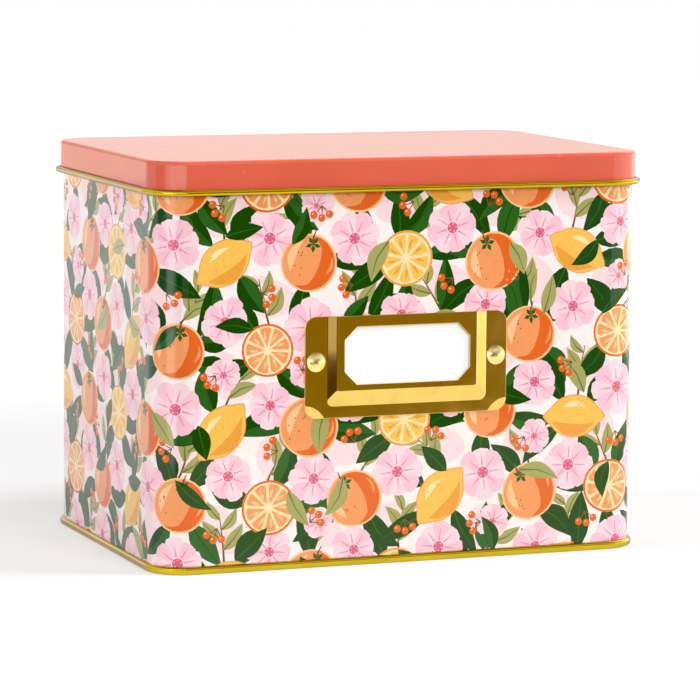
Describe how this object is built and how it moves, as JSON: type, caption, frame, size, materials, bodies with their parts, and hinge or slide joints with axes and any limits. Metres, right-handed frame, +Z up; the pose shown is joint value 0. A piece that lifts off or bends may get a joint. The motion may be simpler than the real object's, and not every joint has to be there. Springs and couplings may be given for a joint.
{
  "type": "index card tin",
  "caption": "Tinplate box with rounded corners for index cards: hinged lid with a rolled edge, seamed base, and a riveted holder with a slide-in label card.",
  "frame": {"origin": "centre of the base, on the plane that the tin stands on", "axes": "+X to the right along the long side, +Y to the rear where the lid is hinged, +Z up; the label holder faces -Y"},
  "size_m": [0.1772, 0.1224, 0.135],
  "materials": {
    "printed_tinplate": "gloss varnish over an all-over printed pattern, gold lacquer inside",
    "gold_tinplate": "bright gold lacquer on tinplate",
    "lid_tinplate": "semi-gloss coral paint outside, gold lacquer inside and on the curl",
    "wire_steel": "bright drawn wire",
    "holder_brass": "polished, lacquered",
    "label_card_stock": "smooth matt card",
    "rivet_brass": "polished pale brass"
  },
  "bodies": {
    "tin": {"body_wall": "printed_tinplate", "bottom_panel": "gold_tinplate", "hinge_loop_left": "gold_tinplate", "hinge_loop_right": "gold_tinplate", "label_holder": "holder_brass", "label_rivet_left": "rivet_brass", "label_rivet_right": "rivet_brass"},
    "lid": {"lid_shell": "lid_tinplate", "hinge_wire": "wire_steel"},
    "card": {"label_card": "label_card_stock"}
  },
  "joints": [
    {"name": "lid_hinge", "type": "hinge", "parent": "tin", "child": "lid", "pos_m": [0, 0.06012, 0.12484], "axis": [-1, 0, 0], "range_deg": [0, 194]},
    {"name": "label_card_slide", "type": "slide", "parent": "tin", "child": "card", "axis": [0, 0, 1], "range_m": [0, 0.03]}
  ]
}
